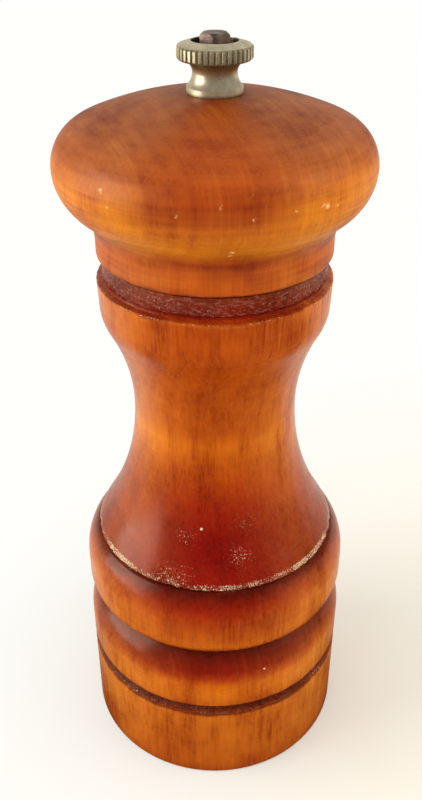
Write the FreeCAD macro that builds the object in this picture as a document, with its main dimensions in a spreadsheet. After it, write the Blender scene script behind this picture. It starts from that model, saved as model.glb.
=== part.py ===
import FreeCAD, Part
import Sketcher
import math
import os
import re

# Wooden pepper mill, standing on the plane z = 0 with its axis along +Z.

SIZES = {
    # Body, outside, from the foot up
    "base_radius": 28.6,
    "base_edge": 0.5,
    "base_height": 29.0,
    "groove_height": 19.4,
    "groove_width": 3.2,
    "groove_depth": 1.4,
    "shoulder_height": 7.0,
    "cove_depth": 3.3,
    "cove_width": 0.9,
    "bead_inset": 0.3,
    "bead_foot_height": 3.7,
    "bead_side_height": 4.9,
    "bead_top_height": 6.9,
    "bead_top_width": 2.7,
    "notch_depth": 0.8,
    "notch_width": 0.7,
    "flare_inset": 3.2,
    "flare_lip_width": 2.2,
    "flare_lip_height": 3.9,
    "flare_lip_curve": 60.0,
    "waist_radius": 16.3,
    "waist_height": 26.0,
    "swell_radius": 21.9,
    "swell_height": 22.4,
    "swell_share": 0.8,
    "rim_radius": 22.1,
    "rim_height": 5.0,
    "ledge_rise": 0.3,
    "neck_radius": 20.9,
    "neck_height": 4.6,
    # Body, inside
    "chamber_radius": 11.5,
    "tenon_step": 2.5,
    "ring_shoulder": 3.5,
    "plate_land": 7.0,
    "recess_depth": 6.0,
    # Head
    "seat_gap": 0.1,
    "collar_radius": 21.8,
    "collar_height": 3.5,
    "collar_round": 0.8,
    "flank_height": 12.8,
    "flank_share": 0.4,
    "head_inset": 0.25,
    "head_shoulder_radius": 7.6,
    "dome_radius": 62.0,
    "nut_seat_radius": 5.6,
    "head_bore_radius": 3.2,
    "tenon_length": 12.0,
    "tenon_clearance": 0.3,
    "tenon_end_gap": 0.8,
    # Adjusting nut
    "nut_seat_gap": 0.05,
    "nut_foot_radius": 4.8,
    "nut_foot_height": 1.05,
    "nut_neck_radius": 3.8,
    "nut_neck_height": 4.25,
    "nut_cove_height": 2.2,
    "nut_rim_radius": 6.4,
    "nut_rim_height": 2.3,
    "nut_bevel": 0.35,
    "nut_crown_height": 0.6,
    "nut_recess_radius": 4.0,
    "nut_recess_depth": 1.7,
    "knurl_count": 40,
    "knurl_depth": 0.3,
    "knurl_width": 1.08,
    # Shaft
    "shaft_side": 4.0,
    "shaft_turn": 45.0,
    "thread_radius": 2.5,
    "running_gap": 0.08,
    "square_gap": 0.3,
    "press_gap": 0.05,
    "tip_stand": 1.2,
    "tip_chamfer": 0.5,
    "rivet_radius": 1.6,
    "rivet_head_radius": 2.6,
    "rivet_head_height": 0.8,
    # Driver plate and all wood screws
    "driver_plate_thickness": 1.2,
    "driver_plate_margin": 1.0,
    "driver_screw_circle": 8.0,
    "driver_screw_count": 2,
    "screw_radius": 1.3,
    "screw_length": 9.0,
    "screw_tip": 2.0,
    "screw_head_radius": 2.4,
    "screw_head_height": 1.5,
    "screw_head_edge": 0.6,
    "screw_head_face": 1.8,
    "screw_slot_width": 0.7,
    "screw_slot_depth": 0.8,
    "screw_gap": 0.05,
    # Grinder
    "plate_thickness": 1.2,
    "plate_gap": 0.3,
    "plate_mouth_gap": 0.5,
    "plate_screw_count": 3,
    "ring_height": 13.0,
    "ring_gap": 0.1,
    "mouth_radius": 12.3,
    "throat_radius": 10.1,
    "throat_height": 4.4,
    "ring_fine_count": 32,
    "ring_coarse_count": 10,
    "fine_tooth_depth": 0.7,
    "fine_tooth_width": 1.5,
    "coarse_tooth_depth": 1.3,
    "coarse_tooth_width": 3.6,
    "tooth_twist": 12.0,
    "grind_gap": 0.4,
    "cone_lift": 0.4,
    "cone_height": 10.0,
    "cone_top_radius": 5.6,
    "cone_fine_count": 28,
    "cone_coarse_count": 7,
    "rotor_washer_radius": 4.2,
    "rotor_washer_thickness": 0.9,
    "bridge_thickness": 1.2,
    "bridge_width": 9.6,
    "bridge_rise": 11.0,
    "bridge_leg_gap": 0.5,
    "bridge_leg_count": 2,
    "bush_wall": 1.1,
    "bush_flange_radius": 4.8,
    "bush_flange_thickness": 0.8,
    "bush_stand": 0.5,
    "spring_washer_radius": 4.7,
    "spring_washer_thickness": 0.8,
    "spring_radius": 3.7,
    "spring_wire": 0.9,
    "spring_turns": 5.5,
    "spring_gap": 0.05,
}

# Radii and heights that follow from the sizes, each written with sizes or with earlier ones
LEVELS = {
    "cove_radius": "base_radius - cove_depth",
    "bead_radius": "base_radius - bead_inset",
    "flare_radius": "base_radius - flare_inset",
    "head_radius": "base_radius - head_inset",
    "shoulder_top": "base_height + shoulder_height",
    "bead_bottom": "shoulder_top + cove_width",
    "bead_side_low": "bead_bottom + bead_foot_height",
    "bead_side_high": "bead_side_low + bead_side_height",
    "bead_top": "bead_side_high + bead_top_height",
    "flare_low": "bead_top + notch_width",
    "flare_turn": "flare_low + flare_lip_height",
    "flare_turn_radius": "flare_radius - flare_lip_width",
    "waist_level": "flare_turn + waist_height",
    "swell_level": "waist_level + swell_height",
    "swell_turn": "waist_level + swell_height * swell_share",
    "swell_turn_radius": "waist_radius + (swell_radius - waist_radius) * swell_share",
    "rim_level": "swell_level + rim_height",
    "body_top": "rim_level + neck_height",
    "tenon_radius": "chamber_radius + tenon_step",
    "socket_radius": "tenon_radius + tenon_clearance",
    "head_low": "body_top + seat_gap",
    "tenon_low": "head_low - tenon_length",
    "driver_plate_low": "tenon_low - driver_plate_thickness",
    "socket_low": "driver_plate_low - tenon_end_gap",
    "ring_pocket_radius": "chamber_radius + ring_shoulder",
    "recess_radius": "ring_pocket_radius + plate_land",
    "screw_circle": "ring_pocket_radius + plate_land / 2",
    "plate_low": "recess_depth - plate_thickness",
    "ring_top": "recess_depth + ring_height",
    "ring_pocket_top": "ring_top + bridge_thickness",
    "throat_level": "recess_depth + throat_height",
    "mouth_slope": "(mouth_radius - throat_radius) / throat_height",
    "cone_low": "recess_depth + cone_lift",
    "cone_high": "cone_low + cone_height",
    "cone_low_radius": "mouth_radius - mouth_slope * cone_lift - grind_gap",
    "cone_turn_radius": "throat_radius - grind_gap",
    "rotor_washer_low": "cone_low - rotor_washer_thickness",
    "shaft_low": "rotor_washer_low - rivet_head_height",
    "bridge_bar_low": "ring_top + bridge_rise",
    "bridge_top": "bridge_bar_low + bridge_thickness",
    "bridge_leg_radius": "sqrt(chamber_radius ^ 2 - bridge_width ^ 2 / 4) - bridge_leg_gap",
    "bridge_foot_radius": "sqrt(ring_pocket_radius ^ 2 - bridge_width ^ 2 / 4) - bridge_leg_gap",
    "bush_bore": "thread_radius + running_gap",
    "bush_radius": "bush_bore + bush_wall",
    "bush_low": "bridge_bar_low - bush_flange_thickness",
    "spring_top": "bush_low - spring_washer_thickness",
    "collar_top": "head_low + collar_height",
    "equator_level": "collar_top + flank_height",
    "flank_turn": "collar_top + flank_height * flank_share",
    "flank_turn_radius": "collar_radius + (head_radius - collar_radius) * flank_share",
    "dome_drop": "sqrt((dome_radius - head_shoulder_radius) ^ 2 - (head_radius - head_shoulder_radius) ^ 2)",
    "dome_centre": "equator_level - dome_drop",
    "dome_turn_scale": "dome_radius / (dome_radius - head_shoulder_radius)",
    "dome_turn_radius": "(head_radius - head_shoulder_radius) * dome_turn_scale",
    "dome_turn": "dome_centre + dome_drop * dome_turn_scale",
    "nut_seat": "dome_centre + sqrt(dome_radius ^ 2 - nut_seat_radius ^ 2)",
    "nut_low": "nut_seat + nut_seat_gap",
    "nut_foot_top": "nut_low + nut_foot_height",
    "nut_rim_low": "nut_foot_top + nut_neck_height",
    "nut_rim_high": "nut_rim_low + nut_rim_height",
    "nut_top": "nut_rim_high + nut_crown_height",
    "shaft_top": "nut_top + tip_stand",
}

doc = FreeCAD.newDocument("pepper_mill")


def fill_sheet(name, cells, mark):
    sheet = doc.addObject("Spreadsheet::Sheet", name)
    for row, (alias, content) in enumerate(cells.items(), start=1):
        sheet.set(f"A{row}", alias)
        sheet.set(f"B{row}", mark(content))
        sheet.setAlias(f"B{row}", alias)
    doc.recompute()
    return sheet


def bound(formula):
    """The formula with each size and level named through its sheet."""
    def through_sheet(found):
        word = found.group()
        if word in SIZES:
            return "sizes." + word
        return "levels." + word if word in LEVELS else word
    return re.sub(r"[a-z_]+", through_sheet, formula)


sizes = fill_sheet("sizes", SIZES, str)
levels = fill_sheet("levels", LEVELS, lambda formula: "=" + bound(formula).replace("levels.", ""))


def value(formula):
    return float(levels.evalExpression(bound(formula)))


def tie(thing, **formulas):
    """Bind properties of a document object to formulas."""
    for prop, formula in formulas.items():
        thing.setExpression(prop, bound(formula))


def new_body(label):
    body = doc.addObject("PartDesign::Body", label)
    body.Label = label
    return body


def origin_feature(body, role):
    return next(feature for feature in body.Origin.OriginFeatures if feature.Role == role)


def new_sketch(body, name, role, height="0", shift="0"):
    """Sketch on an origin plane, raised along its normal and shifted along its own x axis."""
    sketch = body.newObject("Sketcher::SketchObject", name)
    sketch.AttachmentSupport = [(origin_feature(body, role), "")]
    sketch.MapMode = "FlatFace"
    sketch.setExpression("AttachmentOffset.Base.x", bound(shift))
    sketch.setExpression("AttachmentOffset.Base.z", bound(height))
    return sketch


def fix_point(sketch, edge, end, across, up):
    """Hold one end of an edge at its two coordinates."""
    for kind, axis, formula in (("DistanceX", -2, across), ("DistanceY", -1, up)):
        if formula == "0":
            sketch.addConstraint(Sketcher.Constraint("PointOnObject", edge, end, axis))
            continue
        index = sketch.addConstraint(Sketcher.Constraint(kind, -1, 1, edge, end, value(formula)))
        sketch.setExpression(f"Constraints[{index}]", bound(formula))


def add_arc(sketch, start, finish, radius, side):
    """Arc between two points, its centre left (1) or right (-1) of the way from start to finish."""
    chord = finish - start
    middle = (start + finish) * 0.5
    across = FreeCAD.Vector(-chord.y, chord.x, 0).normalize()
    centre = middle + across * (side * math.sqrt(radius ** 2 - chord.Length ** 2 / 4))
    first, last = (start, finish) if side > 0 else (finish, start)
    angles = [math.atan2(point.y - centre.y, point.x - centre.x) for point in (first, last)]
    circle = Part.Circle(centre, FreeCAD.Vector(0, 0, 1), radius)
    return sketch.addGeometry(Part.ArcOfCircle(circle, *angles))


def draw_outline(sketch, corners):
    """Closed outline. A corner is (across, up), or (across, up, radius, side) where an arc leaves it."""
    points = [FreeCAD.Vector(value(corner[0]), value(corner[1]), 0) for corner in corners]
    ends = []
    for index, corner in enumerate(corners):
        start, finish = points[index], points[(index + 1) % len(points)]
        if len(corner) == 2:
            ends.append((sketch.addGeometry(Part.LineSegment(start, finish)), 1, 2))
            continue
        edge = add_arc(sketch, start, finish, value(corner[2]), corner[3])
        ends.append((edge, 1, 2) if corner[3] > 0 else (edge, 2, 1))
    for index, (edge, start, finish) in enumerate(ends):
        after = ends[(index + 1) % len(ends)]
        sketch.addConstraint(Sketcher.Constraint("Coincident", edge, finish, after[0], after[1]))
        fix_point(sketch, edge, start, corners[index][0], corners[index][1])
        if len(corners[index]) > 2:
            place = sketch.addConstraint(Sketcher.Constraint("Radius", edge, value(corners[index][2])))
            sketch.setExpression(f"Constraints[{place}]", bound(corners[index][2]))


def turn_profile(body, corners, shift="0"):
    """Solid turned about the vertical axis of a sketch of its half outline."""
    sketch = new_sketch(body, body.Label + "_profile", "XZ_Plane", shift=shift)
    draw_outline(sketch, corners)
    turned = body.newObject("PartDesign::Revolution", body.Label + "_turned")
    turned.Profile = sketch
    turned.ReferenceAxis = (sketch, ["V_Axis"])
    turned.Angle = 360
    doc.recompute()
    return turned


def draw_rectangle(sketch, width, depth):
    """Rectangle centred on the sketch's origin."""
    half_width, half_depth = value(width) / 2, value(depth) / 2
    signs = ((-1, -1), (1, -1), (1, 1), (-1, 1))
    points = [FreeCAD.Vector(x * half_width, y * half_depth, 0) for x, y in signs]
    edges = [sketch.addGeometry(Part.LineSegment(points[i], points[(i + 1) % 4])) for i in range(4)]
    for index, edge in enumerate(edges):
        sketch.addConstraint(Sketcher.Constraint("Coincident", edge, 2, edges[(index + 1) % 4], 1))
        sketch.addConstraint(Sketcher.Constraint("Vertical" if index % 2 else "Horizontal", edge))
    sketch.addConstraint(Sketcher.Constraint("Symmetric", edges[0], 1, edges[2], 1, -1, 1))
    for kind, edge, formula in (("DistanceX", edges[0], width), ("DistanceY", edges[1], depth)):
        index = sketch.addConstraint(Sketcher.Constraint(kind, edge, 1, edge, 2, value(formula)))
        sketch.setExpression(f"Constraints[{index}]", bound(formula))


def draw_circle(sketch, across, radius):
    """Circle on the sketch's x axis."""
    centre = FreeCAD.Vector(value(across), 0, 0)
    edge = sketch.addGeometry(Part.Circle(centre, FreeCAD.Vector(0, 0, 1), value(radius)))
    fix_point(sketch, edge, 3, across, "0")
    index = sketch.addConstraint(Sketcher.Constraint("Radius", edge, value(radius)))
    sketch.setExpression(f"Constraints[{index}]", bound(radius))


def cut_up(body, sketch, depth):
    """Cut the sketch upwards from its plane, and stop if nothing came off."""
    before = body.Shape.Volume
    pocket = body.newObject("PartDesign::Pocket", sketch.Name + "_cut")
    pocket.Profile = sketch
    pocket.Reversed = True
    tie(pocket, Length=depth)
    doc.recompute()
    if body.Shape.Volume >= before:
        raise RuntimeError(f"{pocket.Name} removes nothing")
    return pocket


def repeat_round(body, features, count):
    """Copies of features round the Z axis, counted by a formula."""
    pattern = body.newObject("PartDesign::PolarPattern", features[-1].Name + "_round")
    pattern.Originals = features
    pattern.Axis = (origin_feature(body, "Z_Axis"), [""])
    pattern.Angle = 360
    tie(pattern, Occurrences=count)
    body.Tip = pattern
    doc.recompute()
    return pattern


def draw_wedge(sketch, point, open_side, width):
    """Triangle with its point on the x axis and its open side square to that axis."""
    half = value(width) / 2
    corners = [
        FreeCAD.Vector(value(point), 0, 0),
        FreeCAD.Vector(value(open_side), half, 0),
        FreeCAD.Vector(value(open_side), -half, 0),
    ]
    edges = [sketch.addGeometry(Part.LineSegment(corners[i], corners[(i + 1) % 3])) for i in range(3)]
    for index, edge in enumerate(edges):
        sketch.addConstraint(Sketcher.Constraint("Coincident", edge, 2, edges[(index + 1) % 3], 1))
    fix_point(sketch, edges[0], 1, point, "0")
    sketch.addConstraint(Sketcher.Constraint("Symmetric", edges[1], 1, edges[1], 2, -1))
    across = sketch.addConstraint(Sketcher.Constraint("DistanceX", -1, 1, edges[1], 1, value(open_side)))
    sketch.setExpression(f"Constraints[{across}]", bound(open_side))
    opening = sketch.addConstraint(Sketcher.Constraint("DistanceY", edges[1], 2, edges[1], 1, 2 * half))
    sketch.setExpression(f"Constraints[{opening}]", bound(width))


def cut_grooves(body, name, count, width, ends, twist="0"):
    """V grooves round the axis, each run straight between two ends of (height, point, open side)."""
    sketches = []
    for index, (height, point, open_side) in enumerate(ends):
        sketch = new_sketch(body, f"{name}_end_{index}", "XY_Plane", height)
        draw_wedge(sketch, point, open_side, width)
        sketches.append(sketch)
    sketches[1].setExpression("AttachmentOffset.Rotation.Angle", f"1 deg * ({bound(twist)})")
    doc.recompute()
    before = body.Shape.Volume
    groove = body.newObject("PartDesign::SubtractiveLoft", name)
    groove.Profile = sketches[0]
    groove.Sections = [sketches[1]]
    groove.Ruled = True
    doc.recompute()
    if body.Shape.Volume >= before:
        raise RuntimeError(f"{name} removes nothing")
    return repeat_round(body, [groove], count)


def tangent_radius(width, height):
    """Radius of an arc that starts square to its width and ends at that width and height."""
    return f"(({width}) ^ 2 + ({height}) ^ 2) / (2 * ({width}))"


def screw_holes(body, level, offset, count):
    """Pilot holes that the wood screws fill, driven upwards from a level."""
    sketch = new_sketch(body, body.Label + "_pilot", "XY_Plane", level)
    draw_circle(sketch, offset, "screw_radius + screw_gap")
    hole = cut_up(body, sketch, "screw_length + screw_gap")
    repeat_round(body, [hole], count)


def make_wooden_body():
    body = new_body("wooden_body")
    lip = "flare_turn_radius - waist_radius"
    swell = "(swell_turn_radius - waist_radius)"
    turn_profile(body, [
        ("recess_radius", "0"),
        ("base_radius - base_edge", "0", "base_edge", 1),
        ("base_radius", "base_edge"),
        ("base_radius", "groove_height"),
        ("base_radius - groove_depth", "groove_height + groove_width / 2"),
        ("base_radius", "groove_height + groove_width"),
        ("base_radius", "base_height", tangent_radius("cove_depth", "shoulder_height"), 1),
        ("cove_radius", "shoulder_top"),
        ("cove_radius", "bead_bottom", tangent_radius("bead_radius - cove_radius", "bead_foot_height"), 1),
        ("bead_radius", "bead_side_low"),
        ("bead_radius", "bead_side_high", tangent_radius("bead_top_width", "bead_top_height"), 1),
        ("bead_radius - bead_top_width", "bead_top"),
        ("flare_radius - notch_depth", "bead_top + notch_width / 2"),
        ("flare_radius", "flare_low", "flare_lip_curve", 1),
        ("flare_turn_radius", "flare_turn", tangent_radius(lip, "waist_height"), -1),
        ("waist_radius", "waist_level", tangent_radius(swell, "swell_height * swell_share"), -1),
        ("swell_turn_radius", "swell_turn",
         tangent_radius("swell_radius - swell_turn_radius", "swell_height * (1 - swell_share)"), 1),
        ("swell_radius", "swell_level"),
        ("rim_radius", "rim_level"),
        ("neck_radius", "rim_level + ledge_rise"),
        ("neck_radius", "body_top"),
        ("socket_radius", "body_top"),
        ("socket_radius", "socket_low"),
        ("chamber_radius", "socket_low"),
        ("chamber_radius", "ring_pocket_top"),
        ("ring_pocket_radius", "ring_pocket_top"),
        ("ring_pocket_radius", "recess_depth"),
        ("recess_radius", "recess_depth"),
    ])
    screw_holes(body, "recess_depth", "screw_circle", "plate_screw_count")
    return body


def make_wooden_head():
    body = new_body("wooden_head")
    flank = "(flank_turn_radius - collar_radius)"
    turn_profile(body, [
        ("head_bore_radius", "tenon_low"),
        ("tenon_radius", "tenon_low"),
        ("tenon_radius", "head_low"),
        ("collar_radius - collar_round", "head_low", "collar_round", 1),
        ("collar_radius", "head_low + collar_round"),
        ("collar_radius", "collar_top", tangent_radius(flank, "flank_height * flank_share"), -1),
        ("flank_turn_radius", "flank_turn",
         tangent_radius("head_radius - flank_turn_radius", "flank_height * (1 - flank_share)"), 1),
        ("head_radius", "equator_level", "head_shoulder_radius", 1),
        ("dome_turn_radius", "dome_turn", "dome_radius", 1),
        ("nut_seat_radius", "nut_seat"),
        ("head_bore_radius", "nut_seat"),
    ])
    screw_holes(body, "tenon_low", "driver_screw_circle", "driver_screw_count")
    return body


def make_adjusting_nut():
    body = new_body("adjusting_nut")
    cove_width = "nut_foot_radius - nut_neck_radius"
    flare_width = "(nut_rim_radius - nut_bevel - nut_neck_radius)"
    flare_height = "(nut_neck_height - nut_cove_height)"
    turn_profile(body, [
        ("bush_bore", "nut_low"),
        ("nut_foot_radius", "nut_low"),
        ("nut_foot_radius", "nut_foot_top", tangent_radius(cove_width, "nut_cove_height"), -1),
        ("nut_neck_radius", "nut_foot_top + nut_cove_height", tangent_radius(flare_width, flare_height), -1),
        ("nut_rim_radius - nut_bevel", "nut_rim_low"),
        ("nut_rim_radius", "nut_rim_low + nut_bevel"),
        ("nut_rim_radius", "nut_rim_high - nut_bevel"),
        ("nut_rim_radius - nut_bevel", "nut_rim_high"),
        ("nut_recess_radius", "nut_top"),
        ("nut_recess_radius - nut_bevel", "nut_top - nut_recess_depth"),
        ("bush_bore", "nut_top - nut_recess_depth"),
    ])
    point = "nut_rim_radius - knurl_depth"
    open_side = "nut_rim_radius + knurl_depth"
    cut_grooves(body, "knurl", "knurl_count", "knurl_width",
                [("nut_rim_low", point, open_side), ("nut_rim_high", point, open_side)])
    return body


def draw_shaft_square(body, name, level, side):
    """Square turned as the shaft is, one corner to the front."""
    sketch = new_sketch(body, name, "XY_Plane", level)
    draw_rectangle(sketch, side, side)
    sketch.setExpression("AttachmentOffset.Rotation.Angle", "1 deg * " + bound("shaft_turn"))
    return sketch


def make_drive_shaft():
    body = new_body("drive_shaft")
    bar = body.newObject("PartDesign::Pad", "shaft_bar")
    bar.Profile = draw_shaft_square(body, "shaft_square", "cone_low", "shaft_side")
    tie(bar, Length="shaft_top - cone_low")
    outside = new_sketch(body, "shaft_corners", "XZ_Plane")
    draw_outline(outside, [
        ("thread_radius", "cone_low"),
        ("shaft_side", "cone_low"),
        ("shaft_side", "shaft_top"),
        ("thread_radius - tip_chamfer", "shaft_top"),
        ("thread_radius", "shaft_top - tip_chamfer"),
    ])
    rounded = body.newObject("PartDesign::Groove", "shaft_rounded")
    rounded.Profile = outside
    rounded.ReferenceAxis = (outside, ["V_Axis"])
    rounded.Angle = 360
    doc.recompute()
    turn_profile(body, [
        ("0", "shaft_low"),
        ("rivet_radius", "shaft_low"),
        ("rivet_head_radius", "rotor_washer_low"),
        ("rivet_radius", "rotor_washer_low"),
        ("rivet_radius", "cone_low"),
        ("0", "cone_low"),
    ])
    return body


def turn_disc(body, inside, outside, low, high):
    """Flat disc, or ring where the inside is not 0."""
    turn_profile(body, [(inside, low), (outside, low), (outside, high), (inside, high)])


def make_driver_plate():
    body = new_body("driver_plate")
    turn_disc(body, "0", "tenon_radius - driver_plate_margin", "driver_plate_low", "tenon_low")
    square = draw_shaft_square(body, "driver_square", "driver_plate_low", "shaft_side + square_gap")
    cut_up(body, square, "driver_plate_thickness")
    hole = new_sketch(body, "driver_hole", "XY_Plane", "driver_plate_low")
    draw_circle(hole, "driver_screw_circle", "screw_radius + screw_gap")
    repeat_round(body, [cut_up(body, hole, "driver_plate_thickness")], "driver_screw_count")
    return body


def make_screws(label, level, offset, count, shank_length):
    """Slotted pan head wood screws on a circle, heads down, seated on a level."""
    body = new_body(label)
    turn_profile(body, [
        ("0", f"{level} - screw_head_height"),
        ("screw_head_face", f"{level} - screw_head_height"),
        ("screw_head_radius", f"{level} - screw_head_edge"),
        ("screw_head_radius", level),
        ("screw_radius", level),
        ("screw_radius", f"{level} + {shank_length} - screw_tip"),
        ("0", f"{level} + {shank_length}"),
    ], shift=offset)
    turned = body.Tip
    slot = new_sketch(body, label + "_slot", "XY_Plane", f"{level} - screw_head_height", offset)
    draw_rectangle(slot, "2 * screw_head_radius + screw_gap", "screw_slot_width")
    cut = cut_up(body, slot, "screw_slot_depth")
    repeat_round(body, [turned, cut], count)
    return body


def make_grinding_ring():
    body = new_body("grinding_ring")
    turn_profile(body, [
        ("mouth_radius", "recess_depth"),
        ("ring_pocket_radius - ring_gap", "recess_depth"),
        ("ring_pocket_radius - ring_gap", "ring_top"),
        ("chamber_radius", "ring_top"),
        ("throat_radius", "throat_level"),
    ])
    cut_grooves(body, "ring_fine_teeth", "ring_fine_count", "fine_tooth_width", [
        ("recess_depth", "mouth_radius + fine_tooth_depth", "mouth_radius - fine_tooth_depth"),
        ("throat_level", "throat_radius + fine_tooth_depth", "throat_radius - fine_tooth_depth"),
    ], "tooth_twist")
    cut_grooves(body, "ring_coarse_teeth", "ring_coarse_count", "coarse_tooth_width", [
        ("throat_level", "throat_radius + coarse_tooth_depth", "throat_radius - coarse_tooth_depth"),
        ("ring_top", "chamber_radius + coarse_tooth_depth", "chamber_radius - coarse_tooth_depth"),
    ], "tooth_twist")
    return body


def make_grinding_cone():
    body = new_body("grinding_cone")
    turn_profile(body, [
        ("0", "cone_low"),
        ("cone_low_radius", "cone_low"),
        ("cone_turn_radius", "throat_level"),
        ("cone_top_radius", "cone_high"),
        ("0", "cone_high"),
    ])
    cut_grooves(body, "cone_fine_teeth", "cone_fine_count", "fine_tooth_width", [
        ("cone_low", "cone_low_radius - fine_tooth_depth", "cone_low_radius + fine_tooth_depth"),
        ("throat_level", "cone_turn_radius - fine_tooth_depth", "cone_turn_radius + fine_tooth_depth"),
    ], "0 - tooth_twist")
    cut_grooves(body, "cone_coarse_teeth", "cone_coarse_count", "coarse_tooth_width", [
        ("throat_level", "cone_turn_radius - coarse_tooth_depth", "cone_turn_radius + coarse_tooth_depth"),
        ("cone_high", "cone_top_radius - coarse_tooth_depth / 2", "cone_top_radius + coarse_tooth_depth"),
    ], "0 - tooth_twist * 2")
    cut_up(body, draw_shaft_square(body, "cone_square", "cone_low", "shaft_side + press_gap"), "cone_height")
    return body


def make_rotor_washer():
    body = new_body("rotor_washer")
    turn_disc(body, "rivet_radius + press_gap", "rotor_washer_radius", "rotor_washer_low", "cone_low")
    return body


def make_shaft_bridge():
    body = new_body("shaft_bridge")
    half = new_sketch(body, "bridge_side", "XZ_Plane")
    leg_inside = "bridge_leg_radius - bridge_thickness"
    draw_outline(half, [
        ("0", "bridge_bar_low"),
        (leg_inside, "bridge_bar_low"),
        (leg_inside, "ring_top"),
        ("bridge_foot_radius", "ring_top"),
        ("bridge_foot_radius", "ring_pocket_top"),
        ("bridge_leg_radius", "ring_pocket_top"),
        ("bridge_leg_radius", "bridge_top"),
        ("0", "bridge_top"),
    ])
    arm = body.newObject("PartDesign::Pad", "bridge_arm")
    arm.Profile = half
    arm.Midplane = True
    tie(arm, Length="bridge_width")
    doc.recompute()
    repeat_round(body, [arm], "bridge_leg_count")
    hole = new_sketch(body, "bridge_hole", "XY_Plane", "bridge_bar_low")
    draw_circle(hole, "0", "bush_radius")
    cut_up(body, hole, "bridge_thickness")
    return body


def make_shaft_bush():
    body = new_body("shaft_bush")
    turn_profile(body, [
        ("bush_bore", "bush_low"),
        ("bush_flange_radius", "bush_low"),
        ("bush_flange_radius", "bridge_bar_low"),
        ("bush_radius", "bridge_bar_low"),
        ("bush_radius", "bridge_top + bush_stand"),
        ("bush_bore", "bridge_top + bush_stand"),
    ])
    return body


def make_spring_washer():
    body = new_body("spring_washer")
    turn_disc(body, "0", "spring_washer_radius", "spring_top", "bush_low")
    square = draw_shaft_square(body, "spring_washer_square", "spring_top", "shaft_side + square_gap")
    cut_up(body, square, "spring_washer_thickness")
    return body


def biarc(start, start_way, finish, finish_way):
    """Two arcs that leave and arrive along the given directions, as edges."""
    span = finish - start
    ways = start_way + finish_way
    spread = 2 * (1 - start_way.dot(finish_way))
    reach = (math.sqrt(span.dot(ways) ** 2 + spread * span.dot(span)) - span.dot(ways)) / spread
    knees = (start + start_way * reach, finish - finish_way * reach)
    joint = (knees[0] + knees[1]) * 0.5
    edges = []
    for first, knee, last in ((start, knees[0], joint), (joint, knees[1], finish)):
        middle = (first + last) * 0.5
        lean = (first - middle).Length / reach
        crown = middle + (knee - middle) * (lean / (1 + lean))
        edges.append(Part.Arc(first, crown, last).toShape())
    return edges


def make_rotor_spring():
    """Open coil between the cone and the spring washer, in quarter turns."""
    radius, wire = value("spring_radius"), value("spring_wire")
    low = value("cone_high + spring_gap") + wire / 2
    rise = value("spring_top - spring_gap") - wire / 2 - low
    quarters = round(value("spring_turns") * 4)
    climb = rise / (quarters * math.pi / 2)

    def coil_point(turn):
        return FreeCAD.Vector(radius * math.cos(turn), radius * math.sin(turn), low + climb * turn)

    def coil_way(turn):
        return FreeCAD.Vector(-radius * math.sin(turn), radius * math.cos(turn), climb).normalize()

    turns = [quarter * math.pi / 2 for quarter in range(quarters + 1)]
    edges = []
    for first, last in zip(turns, turns[1:]):
        edges += biarc(coil_point(first), coil_way(first), coil_point(last), coil_way(last))
    path = Part.Wire(edges)
    section = Part.Wire(Part.Circle(coil_point(0), coil_way(0), wire / 2).toShape())
    per_quarter = 12
    points = path.discretize(Number=quarters * per_quarter)
    apart = 2 * per_quarter
    gap = min((points[i] - points[j]).Length for i in range(len(points)) for j in range(i + apart, len(points)))
    print(f"spring: least gap to itself {gap - wire:.2f} mm")
    spring = doc.addObject("Part::Feature", "rotor_spring")
    spring.Shape = path.makePipeShell([section], True, False)
    return spring


def make_retaining_plate():
    body = new_body("retaining_plate")
    turn_disc(body, "mouth_radius + plate_mouth_gap", "recess_radius - plate_gap", "plate_low", "recess_depth")
    hole = new_sketch(body, "plate_hole", "XY_Plane", "plate_low")
    draw_circle(hole, "screw_circle", "screw_radius + screw_gap")
    repeat_round(body, [cut_up(body, hole, "plate_thickness")], "plate_screw_count")
    return body


PIECES = [
    make_wooden_body(),
    make_wooden_head(),
    make_adjusting_nut(),
    make_drive_shaft(),
    make_driver_plate(),
    make_screws("driver_plate_screws", "driver_plate_low", "driver_screw_circle", "driver_screw_count",
                "screw_length + driver_plate_thickness"),
    make_grinding_ring(),
    make_grinding_cone(),
    make_rotor_washer(),
    make_shaft_bridge(),
    make_shaft_bush(),
    make_spring_washer(),
    make_rotor_spring(),
    make_retaining_plate(),
    make_screws("retaining_plate_screws", "plate_low", "screw_circle", "plate_screw_count",
                "screw_length + plate_thickness"),
]
doc.recompute()

for thing in doc.Objects:
    if "Invalid" in thing.State or "Error" in thing.State:
        raise RuntimeError(f"{thing.Name} failed: {thing.State}")
os.makedirs("parts", exist_ok=True)
for piece in PIECES:
    if piece.Shape.isNull() or not piece.Shape.isValid():
        raise RuntimeError(f"{piece.Label} has no valid shape")
    print(piece.Label, len(piece.Shape.Solids), f"{piece.Shape.Volume:.1f}", piece.Shape.BoundBox)
    piece.Shape.exportStep(f"parts/{piece.Label}.step")
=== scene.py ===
import bmesh
import bpy
import math
from mathutils import Matrix, Vector, noise


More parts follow.
